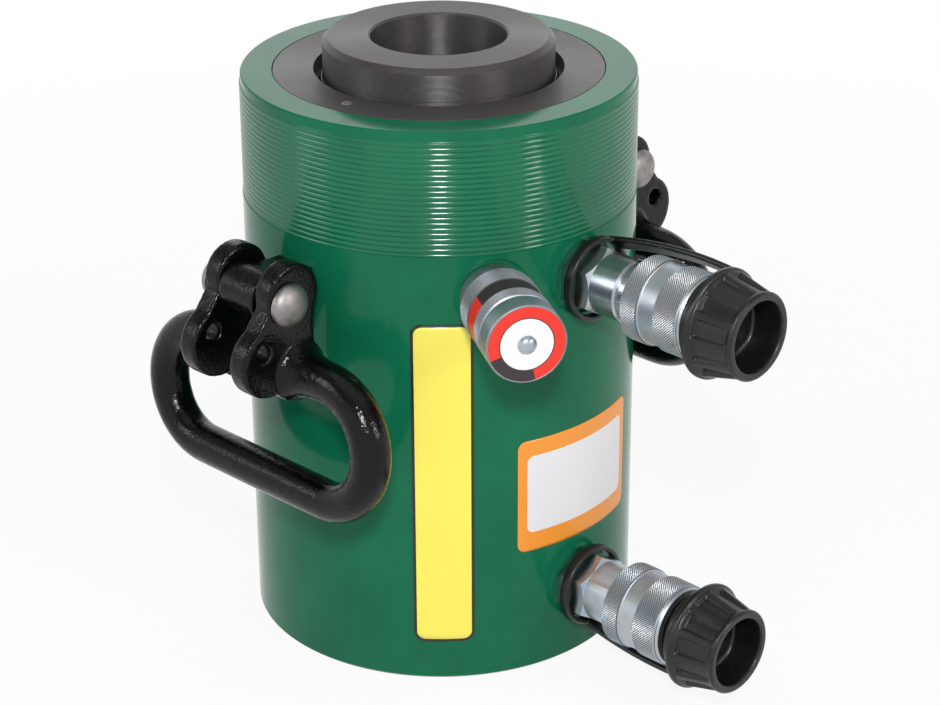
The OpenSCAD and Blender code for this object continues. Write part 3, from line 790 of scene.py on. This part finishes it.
strapSettings = {
    "ringInner": 14.8,
    "ringOuter": 16.88,
    "ringRun": (4.5, 8.7),
    "width": 9.0,
    "thickness": 2.4,
    "arch": 2.6,
    "corner": 0.9,
    "steps": 30,
    "around": 72,
    "upperAngle": 40.0,
    "voxel": 0.45,
    "softRounds": 4,
}


def makeStrap(side, place, seat, flangeStart, flangeRadius, roll):
    s = strapSettings
    ringLow, ringHigh = seat + s["ringRun"][0], seat + s["ringRun"][1]
    end = flangeStart + 0.6
    endRadius = flangeRadius - 0.8 - s["thickness"] / 2
    steps = s["steps"]
    turn = Matrix.Rotation(roll, 4, "Z")
    route = []
    for i in range(steps + 1):
        t = i / steps
        start = s["ringOuter"] - 1
        rise = start + (endRadius - start) * t + s["arch"] * 4 * t * (1 - t)
        route.append(Vector((0, rise, ringHigh - 2 + (end - ringHigh + 2) * t)))

    def frameOf(i):
        tangent = (route[min(i + 1, steps)] - route[max(i - 1, 0)]).normalized()
        return Vector((1, 0, 0)), tangent.cross(Vector((1, 0, 0)))

    def section(i):
        half = s["width"] / 2
        thick = s["thickness"] / 2
        soft = s["corner"]
        corners = ((half, thick), (-half, thick), (-half, -thick), (half, -thick))
        points = []
        for k, (x, y) in enumerate(corners):
            for j in range(5):
                a = math.pi / 2 * (k + j / 4)
                acrossPart = x - math.copysign(soft, x) + soft * math.cos(a)
                heightPart = y - math.copysign(soft, y) + soft * math.sin(a)
                points.append((acrossPart, heightPart))
        return points

    band = sweep(route, frameOf, section)
    ringLine = softLine([
        (ringLow + 3, s["ringInner"], 0), (ringLow, s["ringInner"], 0.5),
        (ringLow, s["ringOuter"], 0.9), (ringHigh, s["ringOuter"], 0.9),
        (ringHigh, s["ringInner"], 0.5), (ringLow + 3.1, s["ringInner"], 0),
    ], 1.0)
    around = s["around"]
    ringPoints = [
        Vector((r * math.cos(2 * math.pi * k / around), r * math.sin(2 * math.pi * k / around), z))
        for z, r, row in ringLine for k in range(around)
    ]
    ringFaces = [
        [i * around + k, i * around + (k + 1) % around, j * around + (k + 1) % around, j * around + k]
        for i, j in zip(range(len(ringLine)), list(range(1, len(ringLine))) + [0]) for k in range(around)
    ]
    points, faces = joined([band, (ringPoints, ringFaces)])
    material = finishes["black_rubber"]
    inRow = [place @ turn @ p for p in points]
    piece = newPiece(side + "_rubber_strap", inRow, faces, material, None)
    softened(piece, s["voxel"], s["softRounds"])
    bridge = [place @ Vector((0, 0, z)) for z in (ringHigh + 4, flangeStart - 3)]
    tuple(bridge[0])
    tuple(bridge[1])
    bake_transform(piece)
    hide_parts(side + "_cap_strap")


springSettings = {"sides": 8, "stepsPerTurn": 28}
checkSettings = {"stem": 9.0, "wire": 1.2, "turns": 6, "keep": 0.55}


def makeSpring(name, node, place, coil, joint):
    # a coil with the node's own length and radius
    s = springSettings
    wire = coil["wire"]
    low, high, radius = span(node, place)
    mean = radius - wire / 2
    count = coil["turns"] * s["stepsPerTurn"]
    route = []
    for i in range(count + 1):
        a = 2 * math.pi * i / s["stepsPerTurn"]
        rise = low + wire / 2 + (high - low - wire) * i / count
        route.append(Vector((mean * math.cos(a), mean * math.sin(a), rise)))

    def frameOf(i):
        return Vector((route[i].x, route[i].y, 0)).normalized(), Vector((0, 0, 1))

    points, faces = sweep(route, frameOf, lambda i: disc((0, 0), wire / 2, s["sides"]))
    inRow = [place @ p for p in points]
    piece = newPiece(name, inRow, faces, finishes["spring_steel"], "barrel_assembly")
    axis = place.to_3x3() @ Vector((0, 0, 1))
    movesOut = Vector(joints[joint]["axis"]).dot(axis) > 0
    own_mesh(piece)
    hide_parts(node)


for side in ("upper", "lower"):
    low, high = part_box(side + "_coupler_collar")
    place = portFrame((0, 0, (low.z + high.z) / 2), (1, 0, 0))
    seat = span(side + "_coupler_body", place)[0] + checkSettings["stem"]
    makeCollar(side, place)
    flangeStart, flangeRadius = makeCap(side, place)
    roll = math.radians(-strapSettings["upperAngle"]) if side == "upper" else math.pi
    makeStrap(side, place, seat, flangeStart, flangeRadius, roll)
    push = side + "_poppet_push"
    makeSpring(side + "_check_spring", side + "_coupler_spring", place, checkSettings, push)
print("couplers dressed")


# relief valve: knurled sleeve with a printed band, and a printed face

valveSettings = {
    "front": 9.4,
    "frontBand": 6.4,
    "label": 8.4,
    "rearBand": 9.6,
    "neckRadius": 13.4,
    "stemRadius": 9.1,
    "chamberRadius": 8.0,
    "chamber": (12.0, 7.0),
    "screwHole": 2.7,
    "screwRadius": 2.4,
    "coil": {"wire": 1.6, "turns": 5, "keep": 0.9},
    "knurlPitch": 1.08,
    "knurlDepth": 0.32,
    "labelDark": (40, 142),
    "faceDark": (201, 283),
    "ringRadius": 10.6,
    "edgeLine": 0.45,
    "red": rgb(226, 46, 30),
    "dark": rgb(52, 40, 46),
    "white": rgb(240, 240, 240),
}

valveAxis = Vector(joints["relief_ball_lift"]["axis"]).normalized()
ballLow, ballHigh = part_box("relief_ball")
valvePlace = portFrame(Vector((0, 0, (ballLow.z + ballHigh.z) / 2)), valveAxis)


def turnAngle(finish, place):
    # angle round a port's axis in degrees, anticlockwise from the right as seen from outside, and radius
    origin = place.translation
    across = finish.along(origin, place.to_3x3().col[0].normalized())
    height = finish.along(origin, place.to_3x3().col[1].normalized())
    angle = height.math("ARCTAN2", height, across) * (180 / math.pi)
    return angle + (angle < 0.0) * 360, (across * across + height * height) ** 0.5


def printed(name, isFace):
    s = valveSettings
    ink = Finish(name, {"Specular IOR Level": 0.45})
    angle, radius = turnAngle(ink, valvePlace)
    first, last = s["faceDark"] if isFace else s["labelDark"]
    segment = (angle > first) * (angle < last)
    worn = ink.noise(1.6, 6, 0.7)
    tone = ink.mix(segment, s["red"], s["dark"])
    if isFace:
        edge = s["ringRadius"] * mm
        line = (radius - edge).step(-1.2 * s["edgeLine"] * mm, -0.8 * s["edgeLine"] * mm)
        inside = radius < edge
        tone = ink.mix(inside, tone, ink.mix(line, s["white"], s["dark"]))
    tone = ink.mix(worn.step(0.62, 0.85) * 0.22, tone, s["dark"])
    ink.surface(Base_Color=tone)
    ink.surface(Roughness=0.28 + 0.22 * worn)
    ink.bump(0.006 * worn)
    return ink.material


def makeValve():
    s = valveSettings
    start, end, radius = span("relief_body", valvePlace)
    material = knurledZinc("relief_knurled_zinc", valvePlace, radius, s["knurlDepth"])
    frontStart = end - s["front"]
    bandStart = frontStart - 2 - s["frontBand"]
    labelStart = bandStart - s["label"]
    floor = radius - s["knurlDepth"]
    rim = radius - 0.7
    stem, chamber, hole = s["stemRadius"], s["chamberRadius"], s["screwHole"]
    chamberLow, chamberHigh = start + s["chamber"][0], end - s["chamber"][1]
    rearStart = labelStart - 0.5 - s["rearBand"]
    rear = softLine([
        (start, stem, 0), (start, s["neckRadius"] - 0.6, 0.3), (start + 0.6, s["neckRadius"], 0.3),
        (rearStart - 1.2, s["neckRadius"], 0.6), (rearStart - 1.2, floor - 0.7, 0.4),
        (rearStart - 0.2, floor, 0.2), (rearStart, floor, 0),
    ], 0.8)
    label = softLine([
        (labelStart - 0.5, floor, 0), (labelStart - 0.4, floor, 0.1), (labelStart, radius - 0.45, 0.2),
        (bandStart, radius - 0.45, 0.2), (bandStart + 0.4, floor, 0.1), (bandStart + 0.5, floor, 0),
    ], 0.7)
    front = softLine([
        (frontStart - 2.1, floor, 0), (frontStart - 2.0, radius - 0.1, 0.1),
        (frontStart - 1.5, radius - 1.0, 0.3), (frontStart - 0.6, radius - 1.0, 0.3),
        (frontStart, radius, 0.3), (end - 0.35, radius, 0.2),
        (end, radius - 0.35, 0.15), (end, rim, 0.1), (end - 1.0, rim, 0.1), (end - 1.0, hole, 0),
        (chamberHigh, hole, 0), (chamberHigh, chamber, 0.4),
        (chamberLow, chamber, 0.2), (chamberLow, stem, 0),
    ], 0.7)
    stations = rear + knurlBand(rearStart, labelStart - 0.5, radius, s["knurlPitch"])
    stations += label + knurlBand(bandStart + 0.5, frontStart - 2.1, radius, s["knurlPitch"]) + front
    around = 2 * round(2 * math.pi * radius / s["knurlPitch"])
    piece = spin(
        "relief_sleeve", stations, around, valvePlace, material, "barrel_assembly",
        knurlDepth=s["knurlDepth"], closed=True,
    )
    piece.data.materials.append(printed("valve_band_print", False))
    inverse = valvePlace.inverted()
    for face in piece.data.polygons:
        local = inverse @ face.center
        onLabel = labelStart < local.z < bandStart and math.hypot(local.x, local.y) > radius - 1
        face.material_index = 1 if onLabel else 0
    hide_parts("relief_body")
    nodes["relief_plate"].data.materials.clear()
    nodes["relief_plate"].data.materials.append(printed("valve_face_print", True))
    head, tip, headRadius = span("relief_screw", valvePlace)
    dome = softLine([
        (head, 0, 0), (head, s["screwRadius"], 0.2), (end + 0.06, s["screwRadius"], 0.1),
        (end + 0.06, headRadius - 0.3, 0.1),
        (end + 0.3, headRadius, 0.3), (end + 0.7, headRadius - 0.05, 0.5),
        (tip - 0.6, headRadius * 0.72, 0.9), (tip, headRadius * 0.3, 0.8), (tip, 0, 0),
    ], 0.25)
    plating = finishes["zinc_plate"]
    screw = spin("relief_dome_screw", dome, 64, valvePlace, plating, "barrel_assembly")
    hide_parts("relief_screw")


makeValve()
makeSpring("relief_coil", "relief_spring", valvePlace, valveSettings["coil"], "relief_ball_lift")
print("relief valve dressed")


# paint over the collar thread: rounded ridges with shallow grooves between

threadSettings = {
    "low": 184.5,
    "high": 229.5,
    "pitch": 2.117,
    "crestRadius": 79.1,
    "leadRadius": 78.6,
    "coreRadius": 77.4,
    "film": 0.03,
    "depth": 0.4,
    "steps": 10,
    "around": 300,
}


def makeThreadPaint():
    s = threadSettings
    top = s["crestRadius"] + s["film"]
    ridges = math.floor((s["high"] - s["low"]) / s["pitch"])
    stations = [(s["low"] - 0.05, top, None)]
    for i in range(1, ridges * s["steps"] + 1):
        turns = i / s["steps"]
        fromCrest = turns - round(turns)
        stations.append((s["low"] + turns * s["pitch"], top - s["depth"] * (2 * fromCrest) ** 2, None))
    crest = stations[-1][0]
    stations += softLine([
        (crest + 0.1, top, 0), (s["high"] + 0.1, top, 0.35),
        (s["high"] + 0.5, s["leadRadius"] + 0.03, 0.2), (s["high"] + 0.8, s["leadRadius"] - 0.05, 0),
    ], 0.25)
    stations += [(s["high"] + 0.8, s["coreRadius"], None), (s["low"] - 0.05, s["coreRadius"], None)]
    place = Matrix.Scale(mm, 4)
    enamel = greenEnamel("thread_enamel", enamelSettings["threadGloss"])
    spin(
        "thread_paint", stations, s["around"], place, enamel, "barrel_assembly",
        closed=True,
    )


makeThreadPaint()
print("thread painted")


# lock screw in the top of the gland nut

screwSettings = {"centre": (7.1, -56.5), "radius": 2.2, "socket": 1.15, "height": 0.15, "root": 0.4}


def makeLockScrew():
    s = screwSettings
    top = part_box("gland_nut")[1].z / mm
    place = Matrix.Translation((s["centre"][0] * mm, s["centre"][1] * mm, 0)) @ Matrix.Scale(mm, 4)
    high = top + s["height"]
    line = softLine([
        (top - s["root"], 0, 0), (top - s["root"], s["radius"], 0.1), (top + 0.02, s["radius"], 0.15),
        (high, s["radius"] - 0.4, 0.2), (high, s["socket"], 0.05), (top + 0.03, s["socket"], 0.03),
        (top + 0.03, 0, 0),
    ], 0.3)
    spin("gland_lock_screw", line, 48, place, pinSteel, "barrel_assembly")


makeLockScrew()


# bare vinyl panels on the barrel

panelSettings = {
    "tall_panel": {
        "angle": -44.9, "width": 24.4, "low": 17.3, "high": 156.9, "corner": 4.5,
        "inner": (22.0, 18.5, 155.7, 3.4), "sheet": rgb(243, 231, 90), "edge": rgb(20, 18, 20),
    },
    "wide_panel": {
        "angle": 0.1, "width": 64.4, "low": 54.2, "high": 103.4, "corner": 3.6,
        "inner": (56.2, 62.4, 96.4, 3.0), "sheet": rgb(226, 226, 231), "edge": rgb(238, 148, 42),
    },
}
panelThickness = 0.16
panelSteps = {"bend": 8, "flat": 20, "rows": 40}


def vinyl(name, s, radius):
    film = Finish(name, {"Specular IOR Level": 0.45, "Coat Weight": 0.25, "Coat Roughness": 0.1})
    middle = math.radians(s["angle"])
    across = film.along((0, 0, 0), (-math.sin(middle), math.cos(middle), 0))
    ahead = film.along((0, 0, 0), (math.cos(middle), math.sin(middle), 0))
    width, low, high, corner = s["inner"]
    arc = across.math("ARCTAN2", across, ahead) * (radius * 1000)
    height = film.along((0, 0, (low + high) / 2 * mm), (0, 0, 1)) * 1000
    overX = abs(arc) - (width / 2 - corner)
    overY = abs(height) - ((high - low) / 2 - corner)
    outer = (overX.atLeast(0.0) ** 2 + overY.atLeast(0.0) ** 2) ** 0.5
    edge = outer + overX.atLeast(overY).atMost(0.0) - corner
    border = edge.step(-0.08, 0.08)
    wear = film.noise(3, 6, 0.7)
    tone = film.mix(border, s["sheet"], s["edge"])
    tone = film.mix(wear.step(0.64, 0.86) * 0.16, tone, rgb(150, 142, 120))
    film.surface(Base_Color=tone)
    film.surface(Roughness=0.3 + 0.18 * wear)
    film.bump(0.012 * film.noise(7, 3) + 0.004 * wear)
    return film.material


def makePanel(name, s, radius):
    half = s["width"] / 2
    corner = s["corner"]
    turns = [math.pi / 2 * i / panelSteps["bend"] for i in range(panelSteps["bend"] + 1)]
    bends = [half - corner + corner * math.sin(a) for a in turns]
    flat = list(np.linspace(-half + corner, half - corner, panelSteps["flat"]))
    columns = [-b for b in reversed(bends)] + flat[1:-1] + bends
    rows = panelSteps["rows"]
    points = []
    for offset in columns:
        over = max(0.0, abs(offset) - (half - corner))
        trim = corner - math.sqrt(max(0.0, corner * corner - over * over))
        angle = math.radians(s["angle"]) + offset * mm / radius
        for i in range(rows + 1):
            z = s["low"] + trim + (s["high"] - s["low"] - 2 * trim) * i / rows
            reach = radius + panelThickness * mm
            points.append((reach * math.cos(angle), reach * math.sin(angle), z * mm))
    count = rows + 1
    faces = [
        [c * count + i, (c + 1) * count + i, (c + 1) * count + i + 1, c * count + i + 1]
        for c in range(len(columns) - 1) for i in range(rows)
    ]
    piece = newPiece(name, points, faces, vinyl(name + "_vinyl", s, radius), None)
    thick = piece.modifiers.new("sheet", "SOLIDIFY")
    thick.thickness = panelThickness * 0.9 * mm
    thick.offset = -1.0
    settled(piece)
    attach(piece, "barrel_assembly")


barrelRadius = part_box("barrel")[1].y
for name, s in panelSettings.items():
    makePanel(name, s, barrelRadius)
print("panels laid")


# studio: camera at the photograph's view, pale floor, soft lamps

cameraSettings = {
    "location": (0.6862, -0.6862, 0.5557),
    "target": (0.00835, 0.00835, 0.1087),
    "roll": -0.247,
    "lens": 98.4,
}


def makeCamera():
    s = cameraSettings
    data = bpy.data.cameras.new("camera")
    data.lens = s["lens"]
    data.sensor_width = 36.0
    camera = bpy.data.objects.new("camera", data)
    bpy.context.scene.collection.objects.link(camera)
    forward = (Vector(s["target"]) - Vector(s["location"])).normalized()
    level = forward.cross(up).normalized()
    lift = level.cross(forward)
    roll = math.radians(s["roll"])
    right = level * math.cos(roll) + lift * math.sin(roll)
    turn = Matrix((right, right.cross(forward), -forward)).transposed().to_4x4()
    camera.matrix_world = Matrix.Translation(s["location"]) @ turn
    bpy.context.scene.camera = camera


lampAim = (0, 0, 0.12)
lampSettings = {
    "front": {"place": (0.88, -0.88, 0.98), "size": 0.17, "power": 12.8, "colour": (1.0, 0.99, 0.97)},
    "right": {"place": (1.35, 0.20, 0.70), "size": 0.20, "power": 4.0, "colour": (1.0, 0.93, 0.84)},
    "left": {"place": (-0.75, -1.2, 0.8), "size": 0.5, "power": 3.4, "colour": (0.97, 0.98, 1.0)},
    "back": {"place": (-1.0, 1.0, 0.85), "size": 0.9, "power": 1.6, "colour": (1.0, 1.0, 1.0)},
    "top": {"place": (0.1, 0.1, 1.7), "size": 2.0, "power": 7.0, "colour": (1.0, 1.0, 1.0)},
}


def makeLamps():
    for name, s in lampSettings.items():
        data = bpy.data.lights.new(name + "_lamp", "AREA")
        data.shape = "SQUARE"
        data.size = s["size"]
        data.energy = s["power"]
        data.color = s["colour"]
        lamp = bpy.data.objects.new(name + "_lamp", data)
        bpy.context.scene.collection.objects.link(lamp)
        lamp.location = s["place"]
        aim = Vector(lampAim) - Vector(s["place"])
        lamp.rotation_euler = aim.to_track_quat("-Z", "Y").to_euler()


worldSettings = {
    "ambient": 0.27,
    "horizon": 1.0,
    "zenith": 0.28,
    "fade": (0.34, 0.72),
}


def makeWorld():
    # white round the horizon, greyer overhead, and an even low light for everything that is not mirrored
    s = worldSettings
    sky = Finish("studio", {"Color": (1, 1, 1, 1)}, bpy.data.worlds, "Background")
    bpy.context.scene.world = sky.material
    direction = sky.node("ShaderNodeTexCoord")
    height = sky.node("ShaderNodeSeparateXYZ", {}, {0: direction}, "Z")
    low, high = s["fade"]
    fade = sky.node(
        "ShaderNodeMapRange", {"interpolation_type": "SMOOTHSTEP"},
        {"Value": height, 1: low, 2: high, 3: s["horizon"], 4: s["zenith"]},
    )
    sky.surface(Strength=sky.node("ShaderNodeMix", {}, {0: sky.seen(), 2: s["ambient"], 3: fade}))


floorSettings = {"size": 6.0, "glow": 0.9, "fade": (0.2, 0.9)}


def makeFloor():
    # white paper, which keeps the shadow near the object and runs out into the white round it
    s = floorSettings
    half = s["size"] / 2
    mesh = bpy.data.meshes.new("floor")
    corners = [(-half, -half, 0), (half, -half, 0), (half, half, 0), (-half, half, 0)]
    mesh.from_pydata(corners, [], [(0, 1, 2, 3)])
    floor = bpy.data.objects.new("floor", mesh)
    bpy.context.scene.collection.objects.link(floor)
    constants = {"Base Color": (0.9, 0.9, 0.9, 1), "Roughness": 0.9, "Specular IOR Level": 0.1}
    paper = Finish("floor_paper", constants)
    glow = paper.node("ShaderNodeEmission", {}, {"Color": (1, 1, 1, 1)})
    distance = paper.vector("LENGTH", paper.place(), output=1)
    share = paper.seen() * (s["glow"] + (1 - s["glow"]) * distance.step(*s["fade"]))
    lit = Field(paper, paper.shader.outputs[0])
    blend = paper.node("ShaderNodeMixShader", {}, {0: share, 1: lit, 2: glow})
    paper.feed(paper.tree.nodes["Material Output"].inputs["Surface"], blend)
    mesh.materials.append(paper.material)


makeCamera()
makeLamps()
makeWorld()
makeFloor()
bpy.context.scene.view_settings.view_transform = "Standard"
print("studio ready")
